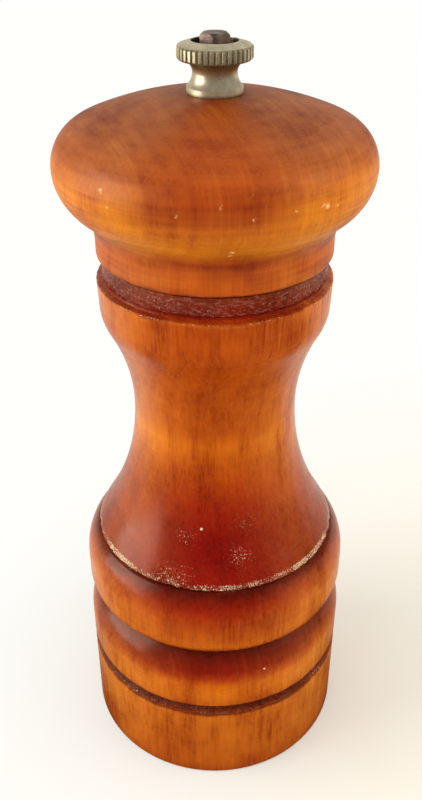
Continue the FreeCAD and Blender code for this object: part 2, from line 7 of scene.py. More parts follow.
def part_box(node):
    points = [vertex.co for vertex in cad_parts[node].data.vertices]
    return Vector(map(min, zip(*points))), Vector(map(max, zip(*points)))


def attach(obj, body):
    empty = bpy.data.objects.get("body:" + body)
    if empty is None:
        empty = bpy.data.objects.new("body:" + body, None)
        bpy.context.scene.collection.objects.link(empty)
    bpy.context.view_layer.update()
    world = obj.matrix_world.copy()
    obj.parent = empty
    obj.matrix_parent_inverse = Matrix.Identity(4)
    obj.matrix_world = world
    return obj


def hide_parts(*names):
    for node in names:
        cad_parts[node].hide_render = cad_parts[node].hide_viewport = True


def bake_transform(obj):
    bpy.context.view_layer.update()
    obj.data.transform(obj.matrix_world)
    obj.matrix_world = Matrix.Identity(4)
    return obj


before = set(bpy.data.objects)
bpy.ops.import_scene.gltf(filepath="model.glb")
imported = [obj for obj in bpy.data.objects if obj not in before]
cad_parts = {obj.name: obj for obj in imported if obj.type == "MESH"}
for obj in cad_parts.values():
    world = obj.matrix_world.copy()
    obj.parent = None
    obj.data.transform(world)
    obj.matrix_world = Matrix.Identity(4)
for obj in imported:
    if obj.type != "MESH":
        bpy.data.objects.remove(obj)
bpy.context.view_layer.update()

# Body: one turned piece of close-grained hardwood, bored through for the peppercorns.
# Reddish stain is sprayed darker into the turned hollows, then lacquered. The flare's sharp
# edge, the rim and the groove are worn through to paler wood. Sizes are in millimetres.
MM = 0.001
TURN_STEPS = 360
body_high_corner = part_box("wooden_body")[1]
foot_radius, body_top = body_high_corner.x / MM, body_high_corner.z / MM
foot_round = 0.5
groove_low, groove_high, groove_depth = 19.4, 22.6, 1.4
shoulder_low, shoulder_high = 29.0, 36.0
cove_radius, bead_low = 25.3, 36.9
bead_radius, bead_side_low, bead_side_high = 28.3, 40.6, 45.5
bead_high, bead_crown = 52.4, 2.7
flare_radius, flare_edge, flare_lip, flare_lift = 25.4, 53.1, 0.8, 0.35
flare_turn, flare_bow = (23.2, 57.0), 60
waist_radius, waist_level = 16.3, 83.0
swell_radius, swell_level, swell_share = 21.9, 105.4, 0.8
swell_turn = (waist_radius + (swell_radius - waist_radius) * swell_share,
              waist_level + (swell_level - waist_level) * swell_share)
rim_radius, rim_level = 22.1, 110.4
neck_radius, ledge = 20.9, 110.7
chamber_radius, socket_radius, socket_low = 11.5, 14.3, 101.1
ring_pocket_radius, ring_pocket_top = 15.0, 20.2
recess_radius, recess_depth = 22.0, 6.0
edge_ease = 0.12


def arc_through(start, finish, radius, step):
    """Points along the arc from start to finish; a positive radius has its centre on the left."""
    chord = Vector(finish) - Vector(start)
    normal = Vector((-chord.y, chord.x)).normalized()
    middle = (Vector(start) + Vector(finish)) / 2
    side = 1 if radius > 0 else -1
    centre = middle + normal * side * math.sqrt(radius ** 2 - chord.length_squared / 4)
    turn = 2 * math.asin(chord.length / 2 / abs(radius)) * side
    count = max(1, round(abs(turn * radius) / step))
    arm = Vector(start) - centre
    return [centre + Matrix.Rotation(turn * i / count, 2) @ arm for i in range(count)]


def run_outline(corners):
    """Closed outline in millimetres. A corner is (radius, height, bend, spacing): bend is the
    radius of the arc that leaves it, 0 for a straight run, and spacing that of its points."""
    points = []
    for index, (radius, height, bend, spacing) in enumerate(corners):
        start, finish = (radius, height), corners[(index + 1) % len(corners)][:2]
        if bend:
            points += arc_through(start, finish, bend, spacing)
            continue
        span = Vector(finish) - Vector(start)
        count = max(1, round(span.length / spacing))
        points += [Vector(start) + span * (i / count) for i in range(count)]
    return points


def square_bend(width, height):
    """Radius of an arc that starts upright and ends at that width and height."""
    return (width ** 2 + height ** 2) / (2 * width)


def turn_mesh(name, points):
    """Piece turned about the mill's axis, its sharp edges eased."""
    merge_distance, sharp_angle = 1e-7, 0.45
    bm = bmesh.new()
    verts = [bm.verts.new((p.x * MM, 0, p.y * MM)) for p in points]
    edges = [bm.edges.new((a, b)) for a, b in zip(verts, verts[1:] + verts[:1])]
    bmesh.ops.spin(bm, geom=verts + edges, cent=(0, 0, 0), axis=(0, 0, 1), angle=2 * math.pi,
                   steps=TURN_STEPS, use_merge=True)
    bmesh.ops.remove_doubles(bm, verts=bm.verts, dist=merge_distance)
    bmesh.ops.recalc_face_normals(bm, faces=bm.faces)
    sharp = [e for e in bm.edges if len(e.link_faces) == 2 and e.calc_face_angle() > sharp_angle]
    bmesh.ops.bevel(bm, geom=sharp, offset=edge_ease * MM, offset_type="OFFSET", affect="EDGES",
                    segments=2, profile=0.5, material=-1, clamp_overlap=True)
    for face in bm.faces:
        face.smooth = True
    mesh = bpy.data.meshes.new(name)
    bm.to_mesh(mesh)
    bm.free()
    piece = bpy.data.objects.new(name, mesh)
    bpy.context.scene.collection.objects.link(piece)
    return piece


# Spacing of an outline's points in millimetres: closest at the edges that get chipped, and none
# between the ends of a straight run that nothing moves.
CHIPPED, TIGHT, ROUND, LONG, SIDE, FOOT, HIDDEN = 0.28, 0.4, 0.5, 0.8, 1.2, 1.6, 200
shoulder_bend = square_bend(foot_radius - cove_radius, shoulder_high - shoulder_low)
bead_foot_bend = square_bend(bead_radius - cove_radius, bead_side_low - bead_low)
bead_top_bend = square_bend(bead_crown, bead_high - bead_side_high)
flare_bend = square_bend(flare_turn[0] - waist_radius, waist_level - flare_turn[1])
waist_bend = square_bend(swell_turn[0] - waist_radius, swell_turn[1] - waist_level)
swell_bend = square_bend(swell_radius - swell_turn[0], swell_level - swell_turn[1])
turned_body = turn_mesh("turned_body", run_outline([
    (recess_radius, 0, 0, HIDDEN),
    (foot_radius - foot_round, 0, foot_round, CHIPPED),
    (foot_radius, foot_round, 0, FOOT),
    (foot_radius, groove_low, 0, CHIPPED),
    (foot_radius - groove_depth, (groove_low + groove_high) / 2, 0, CHIPPED),
    (foot_radius, groove_high, 0, SIDE),
    (foot_radius, shoulder_low, shoulder_bend, TIGHT),
    (cove_radius, shoulder_high, 0, CHIPPED),
    (cove_radius, bead_low, bead_foot_bend, TIGHT),
    (bead_radius, bead_side_low, 0, SIDE),
    (bead_radius, bead_side_high, bead_top_bend, ROUND),
    (bead_radius - bead_crown, bead_high, 0, CHIPPED),
    (flare_radius - flare_lip, bead_high + flare_lift, 0, CHIPPED),
    (flare_radius, flare_edge, flare_bow, CHIPPED),
    (*flare_turn, -flare_bend, LONG),
    (waist_radius, waist_level, -waist_bend, LONG),
    (*swell_turn, swell_bend, ROUND),
    (swell_radius, swell_level, 0, LONG),
    (rim_radius, rim_level, 0, CHIPPED),
    (neck_radius, ledge, 0, CHIPPED),
    (neck_radius, body_top, 0, HIDDEN),
    (socket_radius, body_top, 0, HIDDEN),
    (socket_radius, socket_low, 0, HIDDEN),
    (chamber_radius, socket_low, 0, HIDDEN),
    (chamber_radius, ring_pocket_top, 0, HIDDEN),
    (ring_pocket_radius, ring_pocket_top, 0, HIDDEN),
    (ring_pocket_radius, recess_depth, 0, HIDDEN),
    (recess_radius, recess_depth, 0, HIDDEN),
]))


def band(height, low, high, ease):
    """1 between two heights, easing to 0 outside them."""
    rise = min(1, max(0, (height - low + ease) / ease))
    fall = min(1, max(0, (high + ease - height) / ease))
    return min(rise, fall)


# Torn fibres on the neck and in the groove, and chips out of the three sharp edges. A row is
# (low, high, ease, depth), all in millimetres. The bores are left smooth.
tears_per_mm, tear_smoothness, tear_lacunarity, tear_octaves = 1.1, 0.9, 2.0, 4
chips_per_mm, chip_threshold, bore_wall = 1.3, 0.05, 2
torn_rows = [(ledge + 0.2, body_top - 0.3, 0.4, 0.16), (groove_low + 0.3, groove_high - 0.3, 0.4, 0.05)]
chipped_rows = [(flare_edge - 0.3, flare_edge + 0.3, 0.3, 0.5),
                (groove_low - 0.2, groove_low + 0.1, 0.2, 0.3),
                (rim_level - 0.2, rim_level + 0.2, 0.2, 0.15)]
for vert in turned_body.data.vertices:
    place = vert.co / MM
    out = Vector((place.x, place.y, 0))
    if out.length < neck_radius - bore_wall:
        continue
    tear = noise.fractal(place * tears_per_mm, tear_smoothness, tear_lacunarity, tear_octaves)
    chip = max(0, noise.noise(place * chips_per_mm) - chip_threshold)
    push = sum(depth * tear * band(place.z, low, high, ease) for low, high, ease, depth in torn_rows)
    push -= sum(depth * chip * band(place.z, low, high, ease) for low, high, ease, depth in chipped_rows)
    vert.co += out.normalized() * push * MM


def colour(hex_code):
    """Linear colour of an sRGB hex value."""
    parts = [int(hex_code[i:i + 2], 16) / 255 for i in (1, 3, 5)]
    linear = [c / 12.92 if c <= 0.04045 else ((c + 0.055) / 1.055) ** 2.4 for c in parts]
    return (*linear, 1)


def add(tree, kind, inputs=None, **settings):
    """New shader node with its settings; an input is a value, or the socket that feeds it."""
    node = tree.nodes.new("ShaderNode" + kind)
    for key, setting in settings.items():
        setattr(node, key, setting)
    for key, given in (inputs or {}).items():
        if isinstance(given, bpy.types.NodeSocket):
            tree.links.new(given, node.inputs[key])
        else:
            node.inputs[key].default_value = given
    return node


def new_material(name):
    """Empty material with its tree, its shader and its coordinates in millimetres."""
    material = bpy.data.materials.new(name)
    material.use_nodes = True
    tree = material.node_tree
    shader = tree.nodes["Principled BSDF"]
    place = add(tree, "TexCoord").outputs["Object"]
    millimetres = add(tree, "VectorMath", {0: place, "Scale": 1 / MM}, operation="SCALE").outputs[0]
    return material, tree, shader, millimetres


def set_stops(ramp_node, stops):
    """Give a colour ramp its (position, colour) stops."""
    elements = ramp_node.color_ramp.elements
    while len(elements) > 1:
        elements.remove(elements[-1])
    elements[0].position, elements[0].color = stops[0]
    for position, tint in stops[1:]:
        elements.new(position).color = tint


# A Mix node's colour sockets by number, because its number and vector sockets have the same names.
MIX_A, MIX_B, MIXED = 6, 7, 2
# The values that a noise stays within nearly everywhere.
NOISE_SPREAD = {"From Min": 0.3, "From Max": 0.7}


def stain_tone(tree, mm, split, front_tones, sheen_side_tones, sheen_reach):
    """Colour of the sprayed stain by height, with soft borders, paler towards the left and right as a
    painted sheen.
    """
    clouds_per_mm, drift, front_share = 0.2, 0.45, 0.02
    cloud = add(tree, "TexNoise", {"Vector": mm, "Scale": clouds_per_mm, "Detail": 4.0, "Roughness": 0.6})
    shift = add(tree, "MapRange", {"Value": cloud.outputs["Fac"], **NOISE_SPREAD, "To Min": -drift,
                                   "To Max": drift})
    height = add(tree, "Math", {0: split.outputs["Z"], 1: shift.outputs["Result"]}, operation="ADD")
    low, high = front_tones[0][0], front_tones[-1][0]
    share = add(tree, "MapRange", {"Value": height.outputs[0], "From Min": low, "From Max": high})
    ramps = []
    for tones in (front_tones, sheen_side_tones):
        ramps.append(add(tree, "ValToRGB", {"Fac": share.outputs["Result"]}))
        set_stops(ramps[-1], [((z - low) / (high - low), colour(code)) for z, code in tones])
    # Painted sheen: towards the left and right of the view the stain turns to the paler side colours.
    across = add(tree, "Math", {0: split.outputs["X"], 1: split.outputs["X"]}, operation="MULTIPLY")
    around = add(tree, "Math", {0: split.outputs["Y"], 1: split.outputs["Y"], 2: across.outputs[0]},
                 operation="MULTIPLY_ADD")
    sideways = add(tree, "Math", {0: across.outputs[0], 1: around.outputs[0]}, operation="DIVIDE")
    side = add(tree, "MapRange", {"Value": sideways.outputs[0], "From Min": front_share,
                                  "From Max": sheen_reach})
    tone = add(tree, "Mix", {"Factor": side.outputs["Result"], MIX_A: ramps[0].outputs["Color"],
                             MIX_B: ramps[1].outputs["Color"]}, data_type="RGBA")
    return tone.outputs[MIXED]


def grained(tree, mm, tone, grain_weights, hair_amount):
    """Stain darkened and lightened by the grain, with pale hairs along the growth layers. Gives the fibres
    too, for the bump. Real fibres are under 0.1 mm wide, too fine to show, so they are drawn as coarse as
    they need to be. A row is the size across, deep and high in millimetres, the turn about the axis in
    degrees, the detail and the roughness."""
    layer_turn = 22
    patterns = []
    for size, turn, detail, roughness in [
            ((0.4, 0.4, 7.0), 0, 3.0, 0.7), ((2.0, 30.0, 80.0), layer_turn, 4.0, 0.65),
            ((8.0, 8.0, 11.0), 0, 3.0, 0.5), ((16.0, 16.0, 0.9), 0, 3.0, 0.5),
            ((0.6, 16.0, 20.0), layer_turn, 2.0, 0.5)]:
        way = add(tree, "Mapping", {"Vector": mm, "Rotation": (0, 0, math.radians(turn)), "Scale": size},
                  vector_type="TEXTURE")
        patterns.append(add(tree, "TexNoise", {"Vector": way.outputs[0], "Scale": 1.0, "Detail": detail,
                                               "Roughness": roughness}).outputs["Fac"])
    fibre, layer, figure, turning_mark, hair = patterns
    grain = 0.0
    for pattern, weight in zip((fibre, layer, figure, turning_mark), grain_weights):
        grain = add(tree, "Math", {0: pattern, 1: weight, 2: grain}, operation="MULTIPLY_ADD").outputs[0]
    middle, darkest, palest = sum(grain_weights) / 2, 0.31, 0.26
    depth = add(tree, "MapRange", {"Value": grain, "From Min": middle - darkest, "From Max": middle + palest})
    shade = add(tree, "ValToRGB", {"Fac": depth.outputs["Result"]})
    set_stops(shade, [(0.0, colour("#BA8650")), (0.5, colour("#E6DAAC")), (1.0, colour("#FFFFE4"))])
    stained = add(tree, "Mix", {"Factor": 1.0, MIX_A: tone, MIX_B: shade.outputs["Color"]},
                  data_type="RGBA", blend_type="MULTIPLY")
    patch = add(tree, "MapRange", {"Value": figure, "From Min": 0.42, "From Max": 0.62,
                                   "To Max": hair_amount})
    pale = add(tree, "MapRange", {"Value": hair, "From Min": 0.5, "From Max": 0.8,
                                  "To Max": patch.outputs["Result"]})
    stained = add(tree, "Mix", {"Factor": pale.outputs["Result"], MIX_A: stained.outputs[MIXED],
                                MIX_B: colour("#E09A28")}, data_type="RGBA")
    return stained.outputs[MIXED], fibre


def wear_mask(tree, mm, split, grit_share, chip_peak, chip_gap, wear_edge, wear_bands, wear_spots):
    """1 where the stain is scuffed off: specks of grit and ragged chips, in bands at a height and in round
    spots. A band is (height, half width, amount, patchiness), a spot (centre, reach, amount, lowest height).
    Real specks are about 0.1 mm wide, and are drawn coarser to show."""
    grit_per_mm, rags_per_mm, rag_reach, patches_per_mm = 3.6, 0.9, (2.2, 2.2, 1.2), 0.14
    chip_reach, chip_rise, chip_fall, chip_grit = 0.35, 0.1, 0.5, 0.2
    unworn, outside, wear_level, spot_border, band_core = -0.3, -1.0, 0.62, 0.3, 0.3
    grit = add(tree, "TexNoise", {"Vector": mm, "Scale": grit_per_mm, "Detail": 3.0, "Roughness": 0.7})
    dust = add(tree, "Math", {0: grit.outputs["Fac"], 1: grit_share}, operation="MULTIPLY")
    rags = add(tree, "TexNoise", {"Vector": mm, "Scale": rags_per_mm, "Detail": 2.0})
    ragged = add(tree, "VectorMath", {0: rags.outputs["Color"], 1: rag_reach, 2: mm},
                 operation="MULTIPLY_ADD")
    cell = add(tree, "TexVoronoi", {"Vector": ragged.outputs[0], "Scale": 1 / chip_gap})
    chip = add(tree, "MapRange", {"Value": cell.outputs["Distance"], "From Max": chip_reach,
                                  "To Min": chip_peak - chip_rise, "To Max": chip_peak - chip_fall})
    chip = add(tree, "Math", {0: grit.outputs["Fac"], 1: chip_grit, 2: chip.outputs["Result"]},
               operation="MULTIPLY_ADD")
    speck = add(tree, "Math", {0: dust.outputs[0], 1: chip.outputs[0]}, operation="MAXIMUM")
    patch = add(tree, "TexNoise", {"Vector": mm, "Scale": patches_per_mm, "Detail": 2.0})
    chances = []
    for height, half_width, amount, patchiness in wear_bands:
        away = add(tree, "Math", {0: split.outputs["Z"], 1: height}, operation="SUBTRACT")
        away = add(tree, "Math", {0: away.outputs[0]}, operation="ABSOLUTE")
        near = add(tree, "MapRange", {"Value": away.outputs[0], "From Min": half_width,
                                      "From Max": half_width * band_core, "To Min": unworn, "To Max": amount})
        uneven = add(tree, "MapRange", {"Value": patch.outputs["Fac"], "From Min": 0.35, "From Max": 0.65,
                                        "To Min": -patchiness, "To Max": 0.0})
        chances.append(add(tree, "Math", {0: near.outputs["Result"], 1: uneven.outputs["Result"]},
                           operation="ADD").outputs[0])
    for centre, reach, amount, lowest in wear_spots:
        away = add(tree, "VectorMath", {0: mm, 1: centre}, operation="DISTANCE")
        near = add(tree, "MapRange", {"Value": away.outputs["Value"], "From Min": reach, "From Max": 0.0,
                                      "To Min": unworn, "To Max": amount})
        below = add(tree, "MapRange", {"Value": split.outputs["Z"], "From Min": lowest,
                                       "From Max": lowest + spot_border, "To Min": outside, "To Max": 0.0})
        chances.append(add(tree, "Math", {0: near.outputs["Result"], 1: below.outputs["Result"]},
                           operation="ADD").outputs[0])
    chance = chances[0]
    for other in chances[1:]:
        chance = add(tree, "Math", {0: chance, 1: other}, operation="MAXIMUM").outputs[0]
    level = add(tree, "Math", {0: chance, 1: speck.outputs[0]}, operation="ADD")
    worn = add(tree, "MapRange", {"Value": level.outputs[0], "From Min": wear_level,
                                  "From Max": wear_level + wear_edge})
    return worn.outputs["Result"]


def torn_bands(tree, mm, split, stained, rough_bands_with_glints):
    """Mask of the bands that the tool left rough, and the stain with pale painted highlight flecks on their
    crests, as glints on the rough lacquer. A band is (bottom, top, amount of painted highlight flecks)."""
    crest_size, border = (1.1, 1.1, 0.4), 0.3
    crest_way = add(tree, "Mapping", {"Vector": mm, "Scale": crest_size}, vector_type="TEXTURE")
    crest = add(tree, "TexNoise", {"Vector": crest_way.outputs[0], "Scale": 1.0, "Detail": 3.0,
                                   "Roughness": 0.6})
    torn = 0.0
    for bottom, top, amount in rough_bands_with_glints:
        above = add(tree, "MapRange", {"Value": split.outputs["Z"], "From Min": bottom,
                                       "From Max": bottom + border})
        below = add(tree, "MapRange", {"Value": split.outputs["Z"], "From Min": top,
                                       "From Max": top - border})
        here = add(tree, "Math", {0: above.outputs["Result"], 1: below.outputs["Result"]},
                   operation="MULTIPLY").outputs[0]
        torn = add(tree, "Math", {0: torn, 1: here}, operation="MAXIMUM").outputs[0]
        # Painted highlight: pale pink flecks on the crests, as glints of light on the torn lacquer.
        painted_glint = add(tree, "MapRange", {"Value": crest.outputs["Fac"], "From Min": 0.5, "From Max": 0.7,
                                       "To Max": amount})
        painted_glint = add(tree, "Math", {0: painted_glint.outputs["Result"], 1: here}, operation="MULTIPLY")
        stained = add(tree, "Mix", {"Factor": painted_glint.outputs[0], MIX_A: stained, MIX_B: colour("#B48478")},
                      data_type="RGBA").outputs[MIXED]
    return torn, stained


def stained_wood(name, front_tones, sheen_side_tones, sheen_reach, gloss_range, grain_weights, hair_amount,
                 grit_share, chip_peak, chip_gap, bare_wood, wear_edge, rough_bands_with_glints, wear_bands, wear_spots):
    """Close-grained hardwood under sprayed stain and lacquer. It gives the eye a clear, warm colour with
    upright fibres and a soft gloss, dull where bare wood shows and lumpy where the tool tore the fibres. Its
    colour has a painted sheen towards the left and right, and painted highlight flecks on the torn crests."""
    haze_per_mm, bare_dullness, fibre_height = 0.5, 0.3, 0.05
    lumps_per_mm, lump_height, torn_dullness = 1.5, 0.7, -0.1
    material, tree, shader, mm = new_material(name)
    split = add(tree, "SeparateXYZ", {0: mm})
    tone = stain_tone(tree, mm, split, front_tones, sheen_side_tones, sheen_reach)
    stained, fibre = grained(tree, mm, tone, grain_weights, hair_amount)
    worn = wear_mask(tree, mm, split, grit_share, chip_peak, chip_gap, wear_edge, wear_bands, wear_spots)
    haze = add(tree, "TexNoise", {"Vector": mm, "Scale": haze_per_mm, "Detail": 4.0})
    gloss = add(tree, "MapRange", {"Value": haze.outputs["Fac"], **NOISE_SPREAD, "To Min": gloss_range[0],
                                   "To Max": gloss_range[1]})
    dull = add(tree, "Math", {0: worn, 1: bare_dullness, 2: gloss.outputs["Result"]},
               operation="MULTIPLY_ADD")
    ripple = add(tree, "Bump", {"Height": fibre, "Strength": 0.1, "Distance": fibre_height * MM})
    if rough_bands_with_glints:
        torn, stained = torn_bands(tree, mm, split, stained, rough_bands_with_glints)
        lump = add(tree, "TexNoise", {"Vector": mm, "Scale": lumps_per_mm, "Detail": 5.0, "Roughness": 0.7})
        tear = add(tree, "Math", {0: lump.outputs["Fac"], 1: torn}, operation="MULTIPLY")
        ripple = add(tree, "Bump", {"Height": tear.outputs[0], "Strength": 1.0, "Distance": lump_height * MM,
                                    "Normal": ripple.outputs[0]})
        dull = add(tree, "Math", {0: torn, 1: torn_dullness, 2: dull.outputs[0]}, operation="MULTIPLY_ADD")
    bare = add(tree, "Mix", {"Factor": worn, MIX_A: stained, MIX_B: colour(bare_wood)}, data_type="RGBA")
    tree.links.new(bare.outputs[MIXED], shader.inputs["Base Color"])
    tree.links.new(dull.outputs[0], shader.inputs["Roughness"])
    tree.links.new(ripple.outputs[0], shader.inputs["Normal"])
    shader.inputs["IOR"].default_value = 1.38
    shader.inputs["Specular Tint"].default_value = colour("#FFD4B8")
    shader.inputs["Coat Weight"].default_value = 0.04
    shader.inputs["Coat Roughness"].default_value = 0.15
    return material


# Stain colours by height in millimetres: orange on the rounds, dark red in the hollows.
body_tones = [
    (0.0, "#AC4A0A"), (3.0, "#BA580C"), (18.8, "#CA6A0E"), (19.4, "#8A3410"), (20.4, "#6A2410"),
    (22.0, "#5A1806"), (22.8, "#C8620A"), (26.0, "#D67008"), (28.5, "#CE6406"), (30.4, "#A83604"),
    (32.0, "#841604"), (37.8, "#4A0A04"), (38.8, "#A84808"), (40.0, "#CC660C"), (43.0, "#C05606"),
    (48.2, "#A63004"), (50.0, "#8E1804"), (52.3, "#4A0804"), (53.0, "#6E1006"), (54.5, "#8C1004"),
    (62.0, "#860A04"), (68.0, "#981E04"), (73.0, "#AC3C04"), (78.0, "#C05604"), (81.0, "#CC6408"),
    (85.0, "#BA5204"), (109.6, "#B84C06"), (110.3, "#C86820"), (110.6, "#961E08"), (112.2, "#8A1E08"),
    (115.0, "#923616"),
]
# Painted sheen: the same stain paler and pinker, the colours towards the left and right of the view.
body_sheen_side_tones = [
    (0.0, "#A44E16"), (4.0, "#B86020"), (18.8, "#CC7832"), (19.4, "#8E3E1A"), (20.4, "#6A2A14"),
    (22.0, "#5A1C0A"), (22.8, "#C4702E"), (28.5, "#D07C36"), (31.5, "#A85024"), (34.0, "#7A3018"),
    (37.8, "#54180C"), (39.0, "#AE5820"), (41.0, "#CE7834"), (46.0, "#CE7632"), (50.0, "#A44C26"),
    (52.3, "#561408"), (53.0, "#883410"), (62.0, "#9E4624"), (70.0, "#AC5224"), (76.0, "#BE6628"),
    (81.0, "#D87E2E"), (85.0, "#C86E2E"), (98.0, "#BE6424"), (109.6, "#CE722C"), (110.3, "#D07A38"),
    (110.6, "#8A2614"), (115.0, "#8E4A36"),
]
body_wood = stained_wood(
    "stained_lacquered_hardwood_body", body_tones, body_sheen_side_tones, sheen_reach=0.6,
    gloss_range=(0.22, 0.32), grain_weights=(0.9, 0.6, 0.9, 0.15), hair_amount=0.04, grit_share=1.0,
    chip_peak=0.55, chip_gap=10.0, bare_wood="#D4BA96", wear_edge=0.08,
    rough_bands_with_glints=[(ledge + 0.5, body_top, 0.42), (groove_low, groove_high, 0.12)],
    wear_bands=[(flare_edge + 0.35, 1.7, 0.17, 0.16), (groove_low + 0.3, 0.9, 0.04, 0.1),
                (rim_level - 0.05, 0.3, 0.06, 0.06), (ledge + 2.2, 2.6, 0.02, 0.1)],
    wear_spots=[((-9.0, -23.8, 53.4), 16.0, 0.1, flare_edge), ((5.0, -21.6, 59.0), 10.0, 0.08, flare_edge),
                ((6.4, -19.6, 65.0), 9.0, 0.06, flare_edge), ((-6.0, -20.4, 62.5), 9.0, 0.06, flare_edge),
                ((-2.6, -19.6, 64.2), 0.55, 0.6, flare_edge), ((-19.0, -19.0, 33.6), 7.0, 0.06, groove_high),
                ((10.4, -26.2, 31.6), 0.5, 0.6, groove_high)])
turned_body.data.materials.append(body_wood)
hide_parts("wooden_body")
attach(turned_body, "mill_body")

# Grinder parts: a hardened steel ring and cone with cut teeth, zinc plated plates, bridge, washers and
# screws, and a turned brass bush. One plate is screwed under the base and holds the ring in, the other
# under the head to turn the shaft, and the cone sits on the shaft. All keep their modelled shapes.


def metal(name, base, roughness, blotch):
    """Bare or plated metal, its colour broken by soft stains a millimetre or two wide, and its shine by
    fine turning marks. Gives the material's tree, shader and coordinates too."""
    stains_per_mm, duller, brighter = 0.6, 0.12, 0.06
    marks_per_mm, mark_height = (0.4, 0.4, 9.0), 0.03
    material, tree, shader, mm = new_material(name)
    stain = add(tree, "TexNoise", {"Vector": mm, "Scale": stains_per_mm, "Detail": 5.0, "Roughness": 0.6})
    tint = add(tree, "ValToRGB", {"Fac": stain.outputs["Fac"]})
    set_stops(tint, [(0.3, colour(blotch)), (0.65, colour(base))])
    tree.links.new(tint.outputs["Color"], shader.inputs["Base Color"])
    shader.inputs["Metallic"].default_value = 1.0
    wear = add(tree, "MapRange", {"Value": stain.outputs["Fac"], **NOISE_SPREAD,
                                  "To Min": roughness + duller, "To Max": roughness - brighter})
    tree.links.new(wear.outputs["Result"], shader.inputs["Roughness"])
    marks_way = add(tree, "Mapping", {"Vector": mm, "Scale": marks_per_mm})
    marks = add(tree, "TexNoise", {"Vector": marks_way.outputs[0], "Scale": 1.0, "Detail": 2.0})
    scratch = add(tree, "Bump", {"Height": marks.outputs["Fac"], "Strength": 0.15,
                                 "Distance": mark_height * MM})
    tree.links.new(scratch.outputs[0], shader.inputs["Normal"])
    return material, tree, shader, mm


# The hardened steel is dark and half dull from oil, the zinc pale and satin, and the brass yellow with
# brown tarnish.
grinder_steel = metal("hardened_grinder_steel", "#8C8A86", 0.4, "#55504A")[0]
zinc_plate = metal("zinc_plated_sheet", "#C4C2BA", 0.36, "#8E8A80")[0]
bush_brass = metal("turned_brass", "#C9A258", 0.32, "#8A6A34")[0]
node_finish = {
    "grinding_ring": grinder_steel, "grinding_cone": grinder_steel, "retaining_plate": zinc_plate,
    "retaining_plate_screws": zinc_plate, "shaft_bridge": zinc_plate, "driver_plate": zinc_plate,
    "driver_plate_screws": zinc_plate, "rotor_washer": zinc_plate, "spring_washer": zinc_plate,
    "shaft_bush": bush_brass,
}
for node, finish in node_finish.items():
    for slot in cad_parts[node].material_slots:
        slot.material = finish

# Spring: drawn steel wire, wound to the modelled coils. Its top coil rests on the spring washer and its
# bottom coil on the cone. In the mill it shortens as the nut draws the cone up; here it keeps its modelled
# length. The wire is grey and fairly bright.
spring_wire = metal("drawn_spring_wire", "#A8A8A6", 0.3, "#7A7874")[0]
bm = bmesh.new()
bm.from_mesh(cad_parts["rotor_spring"].data)
bmesh.ops.remove_doubles(bm, verts=bm.verts, dist=1e-7)
spring_mesh = bpy.data.meshes.new("coil_spring")
bm.to_mesh(spring_mesh)
bm.free()
spring_mesh.materials.append(spring_wire)
coil_spring = bpy.data.objects.new("coil_spring", spring_mesh)
bpy.context.scene.collection.objects.link(coil_spring)
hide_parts("rotor_spring")
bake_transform(coil_spring)

# Head: turned from the same wood, domed on top, with a rolled lip over a straight collar and a
# tenon that drops into the body. It is gripped here, so its lacquer is duller, and the stain is
# rubbed pale on its widest part.
head_low_corner, head_high_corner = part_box("wooden_head")
head_radius = head_high_corner.x / MM
tenon_low, nut_seat = head_low_corner.z / MM, head_high_corner.z / MM
tenon_radius, head_bore_radius = 14.0, 3.2
collar_radius, collar_round, collar_height, collar_gap = 21.8, 0.8, 3.5, 0.1
collar_low = body_top + collar_gap
collar_high = collar_low + collar_height
lip_height, flank_share, grip_drop = 12.8, 0.4, 4
equator = collar_high + lip_height
flank_turn = (collar_radius + (head_radius - collar_radius) * flank_share,
              collar_high + (equator - collar_high) * flank_share)
flank_bend = square_bend(flank_turn[0] - collar_radius, flank_turn[1] - collar_high)
lip_bend = square_bend(head_radius - flank_turn[0], equator - flank_turn[1])
head_shoulder, dome, seat_radius = 7.6, 62.0, 5.6
dome_drop = math.sqrt((dome - head_shoulder) ** 2 - (head_radius - head_shoulder) ** 2)
dome_scale = dome / (dome - head_shoulder)
dome_turn = ((head_radius - head_shoulder) * dome_scale, equator - dome_drop + dome_drop * dome_scale)
# Spacing of the outline's points where the head is gripped and under the nut, in millimetres.
GRIP = 0.6
turned_head = turn_mesh("turned_head", run_outline([
    (head_bore_radius, tenon_low, 0, HIDDEN),
    (tenon_radius, tenon_low, 0, HIDDEN),
    (tenon_radius, collar_low, 0, HIDDEN),
    (collar_radius - collar_round, collar_low, collar_round, CHIPPED),
    (collar_radius, collar_low + collar_round, 0, LONG),
    (collar_radius, collar_high, -flank_bend, ROUND),
    (*flank_turn, lip_bend, ROUND),
    (head_radius, equator, head_shoulder, GRIP),
    (*dome_turn, dome, LONG),
    (seat_radius, nut_seat, 0, GRIP),
    (head_bore_radius, nut_seat, 0, HIDDEN),
]))
# Stain colours by height for the head: orange on the lip, browner on the dome. The dark at the collar's
# bottom edge is a painted shadow line at the joint, and the dip at 121 mm in the hollow under the lip is
# painted shade.
head_stain_and_shade_tones = [
    (103.0, "#A86A34"), (115.0, "#7A1C06"), (115.7, "#BE5006"), (117.5, "#CA5E08"), (119.4, "#BA5006"),
    (121.0, "#A23804"), (122.6, "#BC5C0A"), (124.0, "#D67E16"), (126.5, "#D07208"), (129.0, "#C05C06"),
    (131.0, "#AC4604"), (133.0, "#A23C04"), (136.0, "#A6460A"), (139.5, "#A44A12"), (141.5, "#984410"),
    (143.0, "#8C3C0C"),
]
